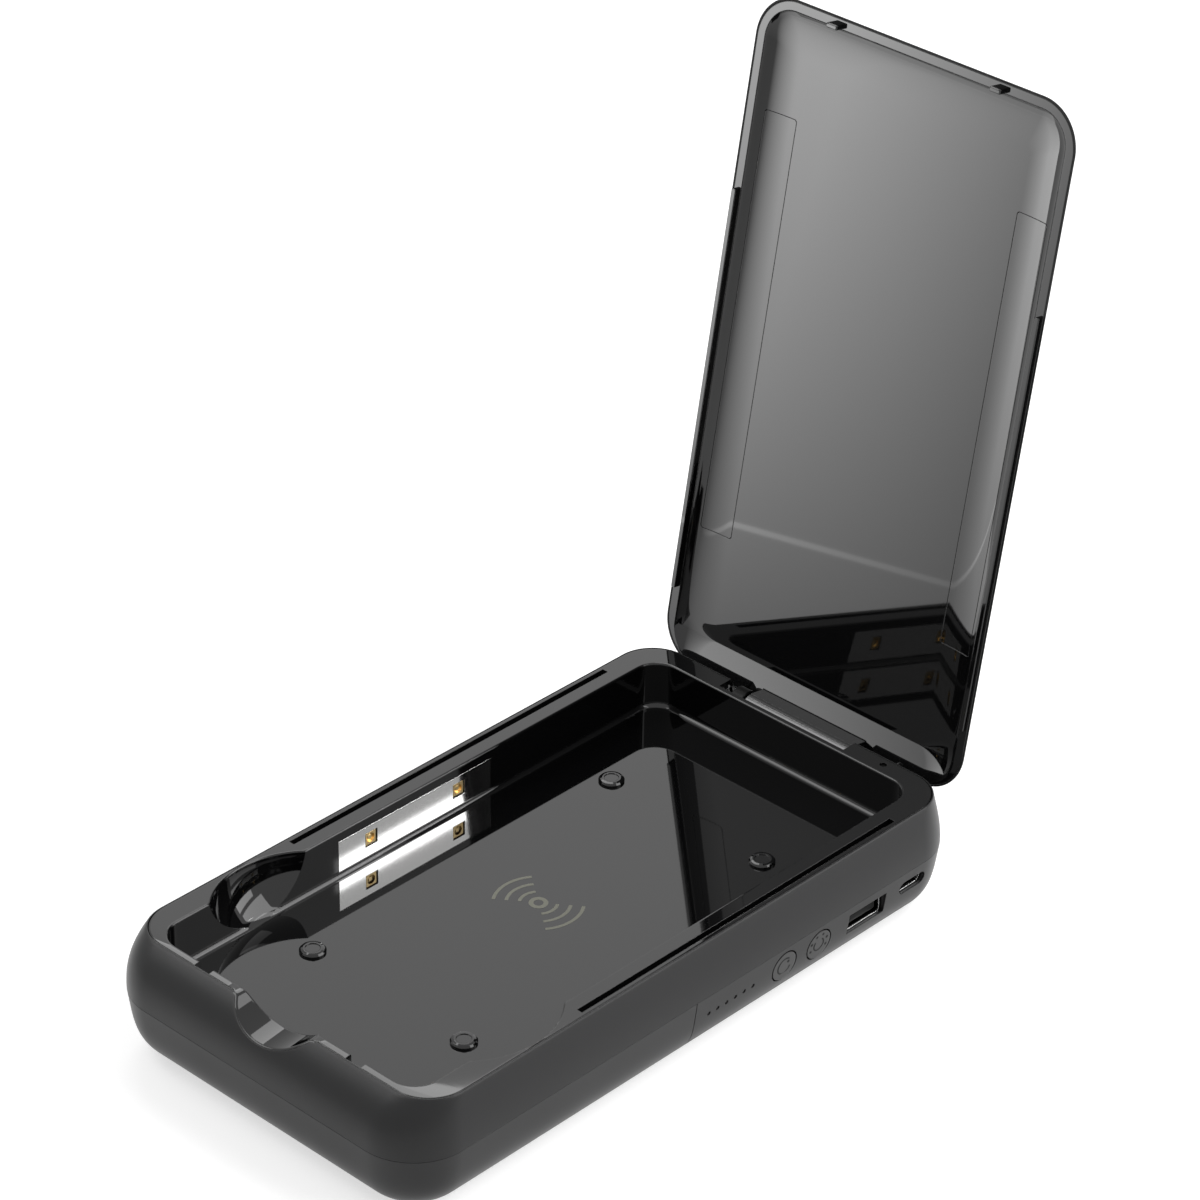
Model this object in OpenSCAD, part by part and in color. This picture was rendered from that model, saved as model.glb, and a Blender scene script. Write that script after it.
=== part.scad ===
// Flip-lid sanitizer box for phones, with a charging floor and a power bank below it.
// X runs to the side with the sockets and buttons, Y to the hinge, Z up.
// The origin is the middle of the plane the feet rest on. The lid is drawn open.

/* [Base case] */
// Half of the widest width, at the parting line
belt_x = 54.3; // [54:0.1:60]
// Half of the longest length, at the parting line
belt_y = 97.9; // [96:0.1:106]
// Corner radius at the parting line
belt_r = 16; // [15:0.5:19]
// Height of the rim above the plane of the feet
rim_z = 32.25; // [32:0.25:36]
// Wall thickness of both cases
case_wall = 2; // [1.6:0.1:2.2]

/* [Tray] */
// Depth of the tray below the rim
tray_depth = 13.3; // [12.5:0.1:13.5]
// Width of the rim beside the tray
side_rim = 7.1; // [7:0.1:9]
// Radius of the tray's inner corners
tray_r = 6.9; // [5:0.1:8]
// Radius of the bowl-shaped finger scoops
scoop_r = 24; // [22:0.5:24]
// Half of the finger notch's width at the rim
notch_x = 12; // [10:0.5:16]
// Depth of the finger notch
notch_depth = 3.8; // [3:0.1:4.8]

/* [Lid] */
// Angle between the closed and the drawn lid
lid_open = 100; // [0:1:100]
// Height of the closed lid above its rim
lid_h = 8; // [7.5:0.5:11]
// Depth of the lid's glossy pan
pan_depth = 2.5; // [1.5:0.1:2.8]

/* [Hinge] */
// Radius of the hinge pin
pin_r = 1; // [0.8:0.1:1.2]
// Half length of the lid's barrel
barrel_x = 17.7; // [14:0.1:18.3]
// Radius of the lid's barrel
barrel_r = 3.1; // [2.6:0.1:3.2]

/* [Controls] */
// Radius of the buttons
button_r = 4.1; // [3.6:0.1:4.6]
// Distance between neighbouring lights
light_pitch = 3.18; // [2.8:0.02:3.3]

/* [Hidden] */
$fn = 64;
// Amount by which cutters run past a face
eps = 0.02;
// Air between pieces that lie side by side
air = 0.05;

// Heights of the underside and of the line where the two cases meet
foot_h = 0.25;
belt_z = 17.95;
inside_z = foot_h + case_wall;

// Insets of the rim behind the belt, at the sides, the front and the back
side_shoulder = 2.45;
front_shoulder = 7.65;
back_shoulder = 3.9;
// Draft of the lower case, and how far its foot rounds in
foot_draft = 2.2;
foot_round = 5.9;
// Relative heights of the loft's rings below and above the belt
foot_steps = [1, 0.94, 0.86, 0.75, 0.6, 0.35, 0];
shoulder_steps = [0.2, 0.4, 0.6, 0.75, 0.88, 1];
corner_steps = 9;

// Flange of the tray: the glossy rim plate let into the upper case
lip = 0.35;
flange_x = belt_x - side_shoulder - lip;
flange_front = front_shoulder + lip - belt_y;
flange_back = belt_y - back_shoulder - lip;
flange_r = 11;
flange_t = 2.4;
flange_z = rim_z - flange_t;

// Hollow of the tray
tray_x = flange_x - side_rim;
tray_front = flange_front + 2.2;
tray_back = flange_back - 5.95;
tray_wall = 1.6;
floor_z = rim_z - tray_depth;
fillet_r = 1.5;

// Finger scoops, as spheres whose middles lie over the tray
scoop_x = flange_x - scoop_r - 0.8;
scoop_y = tray_front + 33.2;
scoop_z = rim_z + 2.9;
scoop_wall = 1.2;

// Finger notch, as a lying cylinder that leans down to the front
notch_r = (notch_x * notch_x + notch_depth * notch_depth) / (2 * notch_depth);
notch_z = rim_z - notch_depth + notch_r;
notch_liner = 0.7;
notch_tilt = 6.8;

// Grooves in the rim for the lid's tongues, and latch slots for its hooks
groove_in = flange_x - 2.95;
groove_out = flange_x - 1.15;
groove_front = tray_front + 49.1;
groove_back = tray_back - 13.9;
groove_depth = 1.8;
tongue_gap = 0.2;
tongue_h = 1.4;
latch_x = tray_x - 18.4;
latch_w = 5.2;
latch_depth = 2.9;
latch_front = tray_front - 1.9;

// Four low rests for the phone
rest_x = tray_x - 18.3;
rest_at = [for (y = [tray_front + 34, tray_back - 35.9]) for (side = [-1, 1]) [side * rest_x, y]];
rest_r = 3.4;
rest_h = 1.1;

// Reflector plates on the long walls, with two lamps each
mirror_front = tray_front + 60.2;
mirror_back = tray_back - 61.8;
mirror_low = floor_z + 1.3;
mirror_high = rim_z - 2.8;
mirror_t = 0.4;
lamp_y = [mirror_front + 11.3, mirror_back - 11.3];
lamp_z = (mirror_low + mirror_high) / 2 + 0.5;
lamp_w = 3.5;
lamp_t = 1.3;
lamp_window = 4.2;
board_t = 1.2;

// Hinge and the recess that holds it. The barrel stands off the middle, its left end turns
// against a lug and its right end against the recess wall, which holds the pin there
hinge_y = belt_y - 4.95;
hinge_z = rim_z - 4.03;
barrel_left = 1.8 - barrel_x;
barrel_right = 1.8 + barrel_x;
barrel_gap = 0.3;
lug_right = barrel_left - barrel_gap;
lug_left = lug_right - 4;
recess_left = lug_left - 3;
recess_right = barrel_right + barrel_gap;
recess_y = tray_back + tray_wall;
recess_z = hinge_z - barrel_r - 1.3;
recess_wall = 1.5;
cheek_t = 4.9;
lug_r = hinge_y - recess_y - 0.1;
pin_left = lug_left - 0.6;
pin_right = recess_right + 3.6;
fixed_play = 0.02;
turning_play = 0.05;

// Outline of the lid, counted as if it were closed
lid_gap = 0.2;
lid_z = rim_z + lid_gap;
lid_x = flange_x - 0.35;
lid_front = flange_front - 1.35;
lid_back = hinge_y + 0.15;
lid_r = 12;
lid_slope = 0.85;
lid_round = 14;
lid_steps = [0, 0.15, 0.3, 0.45, 0.6, 0.73, 0.84, 0.93, 1];
lid_lip = 0.5;
lid_wall = 1.3;
lid_roof = 1.8;
lid_rim = 3.05;
seat_z = lid_z + 1.2;
pan_cove = 11.5;
pan_t = 1.2;
pan_steps = [0, 0.35, 0.65, 0.85, 0.96, 1];
arm_front = hinge_y - barrel_r;

// Cover strips let into both sides of the pan
cover_in = lid_x - 15.4;
cover_out = lid_x - 5.65;
cover_front = lid_front + 30.95;
cover_back = lid_back - 38.1;
cover_gap = 0.08;

// Control panel let into the right side of the lower case, and what shows in it
panel_front = belt_y - 100.7;
panel_back = belt_y - 4.9;
panel_low = 4.85;
panel_in = belt_x - 3.4;
panel_r = 13;
row_z = belt_z - 5.9;
button_y = [belt_y - 68.05, belt_y - 55.3];
button_play = 0.1;
button_travel = 0.6;
button_rim = 0.8;
button_rim_t = 0.9;
light_y = [for (i = [0:5]) belt_y - 95.45 + i * light_pitch];
light_r = 0.4;
usb_a_y = belt_y - 37.3;
usb_a_w = 13.1;
usb_a_h = 5.7;
usb_a_z = row_z + 0.25;
usb_a_low = usb_a_z - usb_a_h / 2;
usb_a_front = panel_in + 1.3;
usb_a_back = usb_a_front - 12.7;
tongue_x = usb_a_w / 2 - 1;
usb_c_y = belt_y - 20.1;
usb_c_w = 8.9;
usb_c_h = 3.2;
usb_c_z = row_z + 1.15;
plate_t = 0.3;

// Main board, battery and screws
board_z = 9.45;
board_top = board_z + board_t;
board_in = panel_in - 31.4;
board_out = panel_in - button_rim_t - button_travel - 0.3;
board_front = panel_front - 11.2;
board_back = panel_back - 3;
board_holes = [[board_in + 2.5, board_front + 4], [board_in + 2.5, board_back - 10],
               [board_out - 3.1, board_front + 4], [board_out - 3.1, board_back - 4]];
cell_l = 70;
cell_h = 8.5;
cell_x = [board_in - 64.9, board_in - 2.9];
cell_y = [belt_y - 168.5, belt_y - 97.5];
screw_at = [for (y = [17.9 - belt_y, belt_y - 17.9]) for (side = [-1, 1]) [side * (belt_x - 16.3), y]];
boss_r = 3.4;
boss_split = 10.25;
foot_r = 4.5;
foot_seat = 0.8;

// Charging coil
coil_r = 21.5;
coil_t = 1.2;

// Switch under the back rim that feels the closed lid
interlock_at = [tray_x - 12.8, tray_back + 3.5];
plunger_r = 0.9;
plunger_low = rim_z - 5;
plunger_travel = 0.8;
switch_nub = 0.7;
peg_r = 0.6;
peg_low = rim_z - 0.35;
// The peg's swing keeps this far above the rim
peg_lift = 0.12;

// Flat rectangle with round corners, from its sides and its radius
module rounded_rect(x0, x1, y0, y1, r) {
  translate([x0 + r, y0]) square([x1 - x0 - 2 * r, y1 - y0]);
  translate([x0, y0 + r]) square([x1 - x0, y1 - y0 - 2 * r]);
  for (x = [x0 + r, x1 - r])
    for (y = [y0 + r, y1 - r])
      translate([x, y]) circle(r);
}

// Level plate with round corners
module rounded_plate(x0, x1, y0, y1, r, z0, z1) {
  translate([0, 0, z0]) linear_extrude(z1 - z0) rounded_rect(x0, x1, y0, y1, r);
}

// Box from two opposite corners
module block(low, high) {
  translate(low) cube(high - low);
}

// Cylinder that lies along X
module lying_x(x0, x1, y, z, r, sides = 48) {
  translate([x0, y, z]) rotate([0, 90, 0]) cylinder(r = r, h = x1 - x0, $fn = sides);
}

// All of space between two heights
module slab(z0, z1) {
  block([-150, -150, z0], [150, 150, z1]);
}

// One ring of a loft: a rounded rectangle, counted counter-clockwise from above
function ring(z, x, y0, y1, r) = [
  for (c = [[x - r, y1 - r, 0], [r - x, y1 - r, 90], [r - x, y0 + r, 180], [x - r, y0 + r, 270]])
    for (k = [0:corner_steps])
      let (a = c[2] + 90 * k / corner_steps)
      [c[0] + r * cos(a), c[1] + r * sin(a), z]
];

// Solid through a stack of rings, lowest first
module loft(rings) {
  n = len(rings[0]);
  m = len(rings);
  polyhedron(
    points = [for (r = rings) each r],
    faces = concat(
      [[for (i = [0:n - 1]) i]],
      [for (j = [0:m - 2]) for (i = [0:n - 1])
        [j * n + i, (j + 1) * n + i, (j + 1) * n + (i + 1) % n, j * n + (i + 1) % n]],
      [[for (i = [n - 1:-1:0]) (m - 1) * n + i]]
    )
  );
}

// Inset of the lower case at the share t of the way from the belt to the underside
function foot_inset(t) = foot_draft * t + foot_round * pow(t, 5);

// Rings of the base's outside, moved inwards by wall
function foot_ring(t, wall) =
  let (inset = foot_inset(t) + wall)
  ring(belt_z + (foot_h - belt_z) * t, belt_x - inset, inset - belt_y, belt_y - inset,
       belt_r - inset * 0.9);
function shoulder_ring(s, wall) =
  let (side = side_shoulder * s * s + wall)
  let (front = front_shoulder * pow(s, 3) + wall)
  let (back = back_shoulder * s * s + wall)
  ring(belt_z + (rim_z - belt_z) * s, belt_x - side, front - belt_y, belt_y - back,
       belt_r - (side + front) / 2);
module base_form(wall = 0) {
  loft(concat([for (t = foot_steps) foot_ring(t, wall)],
              [for (s = shoulder_steps) shoulder_ring(s, wall)]));
}

// Scoop sphere on one side, side being -1 or 1
module scoop_ball(side, r) {
  translate([side * scoop_x, scoop_y, scoop_z]) sphere(r, $fn = 96);
}

// The part of a scoop sphere that lies in or behind the tray's long wall
module scoop_bowl(side, r, z0, z1) {
  x0 = tray_x - 1;
  intersection() {
    scoop_ball(side, r);
    block([side > 0 ? x0 : -flange_x, scoop_y - 30, z0], [side > 0 ? flange_x : -x0, scoop_y + 30, z1]);
  }
}

// Leaning cylinder of the finger notch, from y0 to y1 along its axis
module notch_cut(r, y0, y1) {
  translate([0, tray_front, notch_z]) rotate([notch_tilt - 90, 0, 0]) translate([0, 0, y0 - tray_front])
    cylinder(r = r, h = y1 - y0, $fn = 128);
}

// What repeats at the case screws
module at_screws() {
  for (p = screw_at) translate([p[0], p[1], 0]) children();
}

// Space of the hinge recess behind a given Y
module recess_space(y0) {
  block([recess_left, y0, recess_z], [recess_right, belt_y + 4, rim_z + 2]);
}

// Inner body of the case, drawn in by a given gap
module board_room(gap) {
  rounded_plate(gap - panel_in, panel_in - gap, 4 + gap - belt_y, belt_y - 3.5 - gap, panel_r - gap,
                -1, belt_z + 2);
}

// Skin of the right side that the control panel fills
module panel_space(y0, y1, z0) {
  difference() {
    block([0, y0, z0], [80, y1, belt_z + 1]);
    board_room(0);
  }
}

module lower_case() {
  color("#2b2b2c") difference() {
    union() {
      difference() {
        intersection() {
          base_form();
          slab(0, belt_z);
        }
        intersection() {
          base_form(case_wall);
          slab(inside_z, rim_z);
        }
      }
      at_screws() translate([0, 0, 1]) cylinder(r = boss_r, h = boss_split - 1);
      // Low ribs that keep the battery in place
      for (y = [cell_y[0] - 1.6, cell_y[1] + cell_l + 0.4])
        block([cell_x[0] + 1, y, 1], [cell_x[1], y + 1.2, 6]);
      block([cell_x[1] + 0.4, cell_y[0], 1], [cell_x[1] + 1.6, cell_y[1] + cell_l, 6]);
      // Posts of the main board
      for (p = board_holes) translate([p[0], p[1], 1]) cylinder(r = 2.4, h = board_z - 1);
    }
    panel_space(panel_front, panel_back, panel_low);
    // Window behind the panel
    block([panel_in - 10, panel_front + 3.3, row_z - button_r - button_rim - 0.4],
          [panel_in + 10, panel_back - 8.5, belt_z + 1]);
    at_screws() {
      translate([0, 0, -eps]) cylinder(r = foot_r + 0.1, h = foot_h + foot_seat + eps);
      cylinder(r = 2.6, h = 3.25);
      cylinder(r = 1.25, h = 20, $fn = 32);
    }
    for (p = board_holes) translate([p[0], p[1], 4]) cylinder(r = 0.85, h = 10, $fn = 32);
  }
}

module upper_case() {
  color("#2b2b2c") difference() {
    union() {
      difference() {
        intersection() {
          base_form();
          slab(belt_z, rim_z);
        }
        intersection() {
          base_form(case_wall);
          slab(belt_z - 1, flange_z + eps);
        }
        rounded_plate(-flange_x, flange_x, flange_front, flange_back, flange_r, flange_z, rim_z + 1);
      }
      // Floor and cheeks of the hinge recess
      difference() {
        translate([recess_left - recess_wall, 0, 0]) rotate([90, 0, 90])
          linear_extrude(recess_right + cheek_t - recess_left + recess_wall)
            polygon([[recess_y + air, recess_z - recess_wall], [belt_y - 1.5, recess_z - recess_wall],
                     [belt_y - 3.6, flange_z], [recess_y + air, flange_z]]);
        recess_space(0);
      }
    }
    difference() {
      recess_space(hinge_y);
      lug(0);
    }
    pin_hole(fixed_play);
    // Room for the scoops and the notch of the tray
    for (side = [-1, 1]) scoop_bowl(side, scoop_r + scoop_wall + 0.15, belt_z - 1, flange_z + eps);
    notch_cut(notch_r + notch_liner, -belt_y - 20, tray_front + 5);
  }
  color("#2b2b2c") difference() {
    lug(0.5);
    pin_hole(fixed_play);
  }
}

// Bore for the hinge pin, wider than the pin by play
module pin_hole(play) {
  lying_x(pin_left - 0.2, pin_right + 0.2, hinge_y, hinge_z, pin_r + play);
}

// The lug that carries the pin's left end, sunk into the recess floor by a given depth
module lug(sunk) {
  lying_x(lug_left, lug_right, hinge_y, hinge_z, lug_r, 64);
  block([lug_left, hinge_y - lug_r, recess_z - sunk], [lug_right, hinge_y + barrel_r, hinge_z]);
}

module tray() {
  color("#0d0d0e") difference() {
    union() {
      rounded_plate(-flange_x, flange_x, flange_front, flange_back, flange_r, flange_z, rim_z);
      rounded_plate(-tray_x - tray_wall, tray_x + tray_wall, tray_front - tray_wall,
                    tray_back + tray_wall, tray_r + tray_wall, floor_z - tray_wall, rim_z);
      for (side = [-1, 1]) scoop_bowl(side, scoop_r + scoop_wall, floor_z - tray_wall, rim_z);
      // Liner of the finger notch, which runs out over the case
      intersection() {
        difference() {
          notch_cut(notch_r + notch_liner - air, -belt_y - 20, tray_front);
          block([-60, -belt_y - 20, rim_z], [60, 0, rim_z + 40]);
        }
        base_form();
      }
      at_screws() translate([0, 0, boss_split + 0.1])
        cylinder(r = boss_r, h = floor_z - boss_split - 1);
    }
    difference() {
      rounded_plate(-tray_x, tray_x, tray_front, tray_back, tray_r, floor_z, rim_z + 1);
      foot_fillet();
    }
    for (side = [-1, 1]) {
      scoop_bowl(side, scoop_r, floor_z, rim_z + 1);
      block([side > 0 ? groove_in : -groove_out, groove_front, rim_z - groove_depth],
            [side > 0 ? groove_out : -groove_in, groove_back, rim_z + 1]);
      block([side * latch_x - latch_w / 2, latch_front, rim_z - latch_depth],
            [side * latch_x + latch_w / 2, tray_front + 1, rim_z + 1]);
      mirror_seat(side);
    }
    notch_cut(notch_r, -belt_y - 20, tray_front + 1);
    recess_space(recess_y);
    translate([interlock_at[0], interlock_at[1], flange_z - 1])
      cylinder(r = plunger_r + turning_play, h = 20, $fn = 32);
    at_screws() cylinder(r = 1.15, h = floor_z - 3, $fn = 32);
  }
}

// Round foot of the tray's walls, left standing when the hollow is cut
module foot_fillet() {
  x = tray_x - tray_r;
  y0 = tray_front + tray_r;
  y1 = tray_back - tray_r;
  module profile() {
    difference() {
      square(fillet_r);
      translate([fillet_r, fillet_r]) circle(fillet_r);
    }
  }
  // Straight stretches: left, right, front and back
  translate([-tray_x, y1, floor_z]) rotate([90, 0, 0]) linear_extrude(y1 - y0) profile();
  translate([tray_x, y0, floor_z]) rotate([90, 0, 180]) linear_extrude(y1 - y0) profile();
  translate([-x, tray_front, floor_z]) rotate([90, 0, 90]) linear_extrude(2 * x) profile();
  translate([x, tray_back, floor_z]) rotate([90, 0, 270]) linear_extrude(2 * x) profile();
  for (c = [[x, y1, 0], [-x, y1, 90], [-x, y0, 180], [x, y0, 270]])
    translate([c[0], c[1], floor_z]) rotate([0, 0, c[2]])
      rotate_extrude(angle = 90) translate([tray_r, 0]) mirror([1, 0]) profile();
}

// Recess of one reflector plate, with the windows of its two lamps
module mirror_seat(side) {
  x0 = side > 0 ? tray_x - 1 : -tray_x - mirror_t;
  block([x0, mirror_front, mirror_low], [x0 + 1 + mirror_t, mirror_back, mirror_high]);
  for (y = lamp_y) {
    x1 = side > 0 ? tray_x - 1 : -tray_x - tray_wall - 1;
    block([x1, y - lamp_window / 2, lamp_z - lamp_window / 2],
          [x1 + tray_wall + 2, y + lamp_window / 2, lamp_z + lamp_window / 2]);
  }
}

module uv_reflector(side) {
  x0 = side > 0 ? tray_x : -tray_x - mirror_t;
  color("#d8d9da") difference() {
    block([x0, mirror_front + air, mirror_low + air],
          [x0 + mirror_t, mirror_back - air, mirror_high - air]);
    for (y = lamp_y)
      block([x0 - 1, y - lamp_window / 2, lamp_z - lamp_window / 2],
            [x0 + 2, y + lamp_window / 2, lamp_z + lamp_window / 2]);
  }
}

module uv_board(side) {
  x0 = side > 0 ? tray_x + tray_wall : -tray_x - tray_wall - board_t;
  color("#e9e9e4") block([x0, mirror_front, mirror_low], [x0 + board_t, mirror_back, mirror_high]);
}

// Two lamps on a board: a gold frame with a round pocket and the chip in it
module uv_led(side) {
  color("#c9a24a") for (y = lamp_y)
    translate([side * (tray_x + tray_wall), y, lamp_z]) rotate([0, -90 * side, 0]) {
      difference() {
        block([-lamp_w / 2, -lamp_w / 2, 0], [lamp_w / 2, lamp_w / 2, lamp_t]);
        translate([0, 0, 0.7]) cylinder(r = 1.3, h = 1, $fn = 32);
      }
      block([-0.6, -0.6, 0.6], [0.6, 0.6, 0.95]);
    }
}

// Round bumps with a shallow dish on top
module phone_rests() {
  color("#111112") for (p = rest_at) translate([p[0], p[1], floor_z]) difference() {
    rotate_extrude() polygon([[0, 0], [rest_r, 0], [rest_r, rest_h - 0.6], [rest_r - 0.4, rest_h - 0.15],
                              [rest_r - 1, rest_h], [0, rest_h]]);
    translate([0, 0, rest_h - 0.2]) cylinder(r = rest_r - 1.5, h = 1);
  }
}

module control_panel() {
  color("#2b2b2c") difference() {
    intersection() {
      base_form();
      panel_space(panel_front + air, panel_back - air, panel_low + air);
      slab(0, belt_z - air);
    }
    for (y = button_y) lying_x(panel_in - 5, belt_x + 5, y, row_z, button_r + button_play, 64);
    for (y = light_y) lying_x(panel_in - 5, belt_x + 5, y, row_z, light_r + air, 24);
    block([panel_in - 5, usb_a_y - usb_a_w / 2 - 0.45, usb_a_low - 0.2],
          [belt_x + 5, usb_a_y + usb_a_w / 2 + 0.45, usb_a_low + usb_a_h + 0.2]);
    usb_c_slot(usb_c_w + 0.9, usb_c_h + 0.5, panel_in - 5, belt_x + 5);
  }
}

// Slot with round ends, lying along X
module usb_c_slot(w, h, x0, x1) {
  translate([x0, usb_c_y, usb_c_z]) rotate([90, 0, 90]) linear_extrude(x1 - x0) {
    square([w - h, h], center = true);
    for (s = [-1, 1]) translate([s * (w - h) / 2, 0]) circle(h / 2, $fn = 32);
  }
}

// Push button: a round head, cut off level with the sloping panel, on a wider flange
module button(y) {
  t = (belt_z - row_z) / (belt_z - foot_h);
  slope = (foot_draft + 5 * foot_round * pow(t, 4)) / (belt_z - foot_h);
  color("#303031") {
    difference() {
      lying_x(panel_in - 0.1, belt_x + 2, y, row_z, button_r, 64);
      translate([belt_x - foot_inset(t), y, row_z]) rotate([0, atan(slope), 0])
        block([0, -8, -8], [8, 8, 8]);
    }
    lying_x(panel_in - button_rim_t, panel_in - air, y, row_z, button_r + button_rim, 64);
  }
}

module light_pipes() {
  color("#c8ccd0") for (y = light_y) lying_x(panel_in - 1.9, panel_in + 2.4, y, row_z, light_r, 24);
}

module indicator_leds() {
  color("#e6e2c8") for (y = light_y)
    block([panel_in - 3.5, y - 0.8, board_top], [panel_in - 1.9, y + 0.8, board_top + 2.6]);
}

module button_switches() {
  nub = panel_in - button_rim_t - button_travel - 0.1;
  color("#1a1a1a") for (y = button_y) {
    block([nub - 4.5, y - 3, board_top], [nub - 0.7, y + 3, board_top + 4.4]);
    lying_x(nub - 0.7, nub, y, row_z, row_z - board_top - 0.1, 32);
  }
}

module main_board() {
  color("#1f5a3a") difference() {
    intersection() {
      block([board_in, board_front, board_z], [board_out, board_back, board_top]);
      board_room(panel_in - board_out);
    }
    block([usb_a_back - 0.1, usb_a_y - usb_a_w / 2 - 0.1, 0],
          [panel_in + 5, usb_a_y + usb_a_w / 2 + 0.1, belt_z]);
    for (p = board_holes) translate([p[0], p[1], 0]) cylinder(r = 1.1, h = 20, $fn = 32);
    at_screws() cylinder(r = boss_r + 0.5, h = belt_z);
  }
}

module board_screws() {
  color("#b9bcc0") for (p = board_holes) translate([p[0], p[1], 0]) {
    translate([0, 0, 4.4]) cylinder(r = 0.8, h = board_top - 4.4, $fn = 32);
    translate([0, 0, board_top]) difference() {
      cylinder(r = 1.8, h = 1.1, $fn = 32);
      for (a = [0, 90]) rotate([0, 0, a]) block([-1.1, -0.2, 0.6], [1.1, 0.2, 2]);
    }
  }
}

// Round wire through a list of points
module wire(points, r) {
  for (i = [0:len(points) - 2]) {
    d = points[i + 1] - points[i];
    translate(points[i]) rotate([0, acos(d[2] / norm(d)), atan2(d[1], d[0])])
      cylinder(r = r, h = norm(d), $fn = 24);
    if (i > 0) translate(points[i]) sphere(r, $fn = 24);
  }
}

// Leads from the cells, the coil and both lamp boards to the main board
module inner_leads() {
  lamp_x = tray_x + tray_wall + board_t / 2;
  coil_z = floor_z - tray_wall - 0.6;
  low_z = coil_z - 3.75;
  first_y = board_front + 8;
  color("#a02c2c") {
    for (y = [first_y, first_y + 3, first_y + 9, first_y + 12])
      wire([[cell_x[1] + air, y, 7.4], [board_in + 3, y, 7.4], [board_in + 3, y, board_z - air]], 0.6);
    for (y = [-2, 2])
      wire([[coil_r + air, y, coil_z], [26, y, coil_z], [26, y, board_top + air]], 0.4);
    for (y = [first_y + 1.5, first_y - 0.5])
      wire([[lamp_x, y, mirror_low - air], [lamp_x, y, board_top + air]], 0.4);
    for (y = [first_y + 1.5, first_y - 0.5])
      wire([[-lamp_x, y, mirror_low - air], [-lamp_x, y, low_z], [30, y, low_z],
            [30, y, board_top + air]], 0.4);
  }
}

module usb_a_shell() {
  color("#b9bcc0") difference() {
    block([usb_a_back, usb_a_y - usb_a_w / 2, usb_a_low],
          [usb_a_front, usb_a_y + usb_a_w / 2, usb_a_low + usb_a_h]);
    block([usb_a_back + 0.5, usb_a_y - usb_a_w / 2 + plate_t, usb_a_low + plate_t],
          [usb_a_front + 1, usb_a_y + usb_a_w / 2 - plate_t, usb_a_low + usb_a_h - plate_t]);
    // Spring tabs cut in the top plate
    for (y = [-3.1, 3.1]) translate([usb_a_back + 4.5, usb_a_y + y, usb_a_low + usb_a_h - 0.5]) difference() {
      block([0, -1.3, 0], [5, 1.3, 1]);
      block([-0.1, -0.9, -1], [4.5, 0.9, 2]);
    }
  }
}

// Block and tongue of the socket, whose contacts lie on top
module usb_a_tongue() {
  x0 = usb_a_back + 0.5;
  z0 = usb_a_low + plate_t + air;
  side = usb_a_w / 2 - plate_t - 0.15;
  color("#1a1a1a") {
    block([x0 + air, usb_a_y - side, z0], [x0 + 2, usb_a_y + side, z0 + usb_a_h - 2 * plate_t - 2 * air]);
    block([x0 + 1, usb_a_y - tongue_x, z0 + 0.6], [usb_a_front - 0.9, usb_a_y + tongue_x, z0 + 2.44]);
  }
}

module usb_a_contacts() {
  x0 = usb_a_back + 2.7;
  z0 = usb_a_low + plate_t + air + 2.44;
  color("#d6a83c") for (share = [-0.63, -0.18, 0.18, 0.63]) {
    y = usb_a_y + share * tongue_x;
    block([x0, y - 0.5, z0], [usb_a_front - 1.6, y + 0.5, z0 + 0.25]);
  }
}

// Drawn tube on four short legs that stand on the board
module usb_c_shell() {
  color("#b9bcc0") {
    difference() {
      usb_c_slot(usb_c_w, usb_c_h, panel_in - 6.4, panel_in + 1.5);
      usb_c_slot(usb_c_w - 2 * plate_t, usb_c_h - 2 * plate_t, panel_in - 5.9, panel_in + 5);
    }
    for (x = [panel_in - 6.2, board_out - 1])
      for (y = [usb_c_y - usb_c_w / 4, usb_c_y + usb_c_w / 4])
        block([x, y - 0.6, board_top], [x + 0.8, y + 0.6, usb_c_z - usb_c_h / 2 + plate_t / 2]);
  }
}

module usb_c_tongue() {
  x0 = panel_in - 5.9;
  color("#1a1a1a") {
    usb_c_slot(usb_c_w - 2 * plate_t - 2 * air, usb_c_h - 2 * plate_t - 2 * air, x0 + air, x0 + 1.5);
    block([x0 + 1, usb_c_y - usb_c_w / 2 + 1.1, usb_c_z - 0.35],
          [x0 + 6.2, usb_c_y + usb_c_w / 2 - 1.1, usb_c_z + 0.35]);
  }
}

// Flat wound coil under the tray floor
module charge_coil() {
  color("#b4683a") translate([0, 0, floor_z - tray_wall - coil_t]) difference() {
    cylinder(r = coil_r, h = coil_t, $fn = 96);
    translate([0, 0, -1]) cylinder(r = 10, h = 4, $fn = 96);
  }
}

module coil_shield() {
  top = floor_z - tray_wall - coil_t;
  side = coil_r + 2.5;
  color("#3a3a3e") rounded_plate(-side, side, -side, side, 3, top - 0.8, top);
}

// Two flat pouch cells, each with a raised label field
module battery_cells() {
  color("#a9adb2") for (y = cell_y) {
    rounded_plate(cell_x[0], cell_x[1], y, y + cell_l, 2.5, inside_z, inside_z + cell_h);
    rounded_plate(cell_x[0] + 1.4, cell_x[1] - 1.4, y + 1, y + cell_l - 1, 1.5,
                  inside_z + cell_h - 0.1, inside_z + cell_h + 0.4);
  }
}

module interlock_plunger() {
  top = peg_low - air;
  color("#d8d8d4") translate([interlock_at[0], interlock_at[1], 0]) {
    translate([0, 0, plunger_low]) cylinder(r = plunger_r, h = top - plunger_low, $fn = 32);
    translate([0, 0, flange_z - 1.4]) cylinder(r = 1.6, h = 1.35, $fn = 32);
  }
}

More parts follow.
